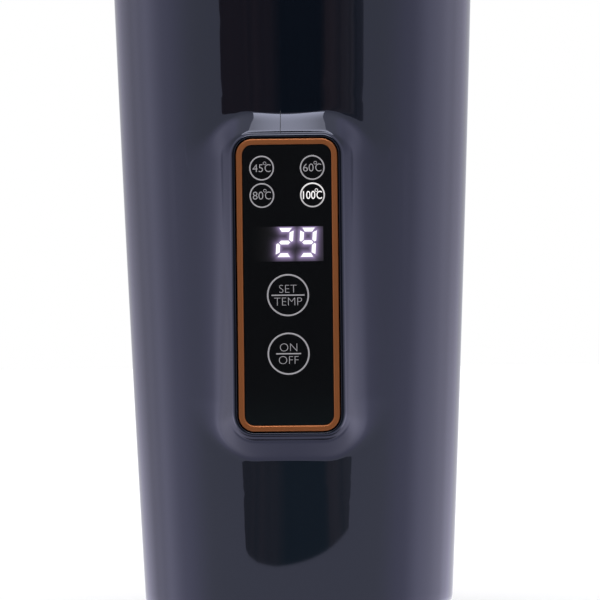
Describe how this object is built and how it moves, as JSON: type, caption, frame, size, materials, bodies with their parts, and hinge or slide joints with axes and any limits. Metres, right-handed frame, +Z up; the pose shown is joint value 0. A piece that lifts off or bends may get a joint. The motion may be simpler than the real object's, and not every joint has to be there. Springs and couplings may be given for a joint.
{
  "type": "portable electric kettle",
  "caption": "Tapered navy travel kettle with a raised touch panel in a copper frame, a screw lid with a swing-up handle, a heated steel cup and a flap-covered mains inlet.",
  "frame": {"origin": "middle of the footprint, on the surface that the foot ring stands on", "axes": "+Z up along the cup's axis, -Y out of the touch panel, +Y out of the mains inlet"},
  "size_m": [0.0854, 0.0854, 0.219],
  "materials": {
    "navy_gloss": "gloss moulded",
    "copper_trim": "satin copper plating",
    "black_window": "polished",
    "black_plastic": "fine matte texture",
    "dark_handle": "satin",
    "steel": "brushed",
    "aluminium": "cast and machined",
    "element_metal": "heat darkened",
    "plated_pins": "nickel plated",
    "silicone": "matte",
    "clear_silicone": "translucent white",
    "board": "solder resist",
    "light_block": "matte",
    "display_face": "grey face",
    "lamp": "milky",
    "relay_case": "moulded",
    "film_case": "moulded",
    "can_sleeve": "shrink sleeve",
    "cutout_case": "phenolic",
    "mains_wire": "silicone insulation",
    "signal_wire": "insulation"
  },
  "bodies": {
    "kettle": {"outer_shell": "navy_gloss", "panel_trim": "copper_trim", "panel_lens": "black_window", "light_guide": "light_block", "display_module": "display_face", "indicator_leds": "lamp", "touch_springs": "steel", "control_board": "board", "control_screws": "steel", "inner_cup": "steel", "neck_ring": "black_plastic", "neck_seal": "clear_silicone", "heat_plate": "aluminium", "heating_element": "element_metal", "thermal_cutout": "cutout_case", "temperature_sensor": "steel", "heat_shield": "aluminium", "heater_studs": "steel", "shield_spacers": "aluminium", "heater_nuts": "steel", "power_board": "board", "board_screws": "steel", "relay": "relay_case", "film_capacitor": "film_case", "supply_capacitor": "can_sleeve", "base_cover": "black_plastic", "base_screws": "steel", "foot_ring": "silicone", "inlet_socket": "black_plastic", "inlet_pins": "plated_pins", "inlet_leads": "mains_wire", "heater_leads": "mains_wire", "control_harness": "signal_wire", "cover_anchor": "silicone"},
    "stopper": {"lid_stopper": "black_plastic", "lid_seal": "clear_silicone"},
    "lid": {"lid_cap": "navy_gloss", "lid_thread_ring": "black_plastic", "vent_plug": "silicone", "handle_pins": "steel"},
    "handle": {"carry_handle": "dark_handle"},
    "inlet_flap": {"socket_cover": "silicone"}
  },
  "joints": [
    {"name": "lid_lift", "type": "slide", "parent": "kettle", "child": "stopper", "axis": [0, 0, 1], "range_m": [0, 0.02401]},
    {"name": "lid_turn", "type": "hinge", "parent": "stopper", "child": "lid", "pos_m": [0, 0, 0.2], "axis": [0, 0, 1], "range_deg": [0, 720]},
    {"name": "handle_swing", "type": "hinge", "parent": "lid", "child": "handle", "pos_m": [0, 0, 0.2124], "axis": [1, 0, 0], "range_deg": [0, 90]},
    {"name": "cover_swing", "type": "hinge", "parent": "kettle", "child": "inlet_flap", "pos_m": [0, 0.038, 0.0336], "axis": [1, 0, 0], "range_deg": [0, 120]}
  ],
  "couplings": [
    {"joint": "lid_lift", "follows": "lid_turn", "m_per_rad": 0.0019099}
  ]
}
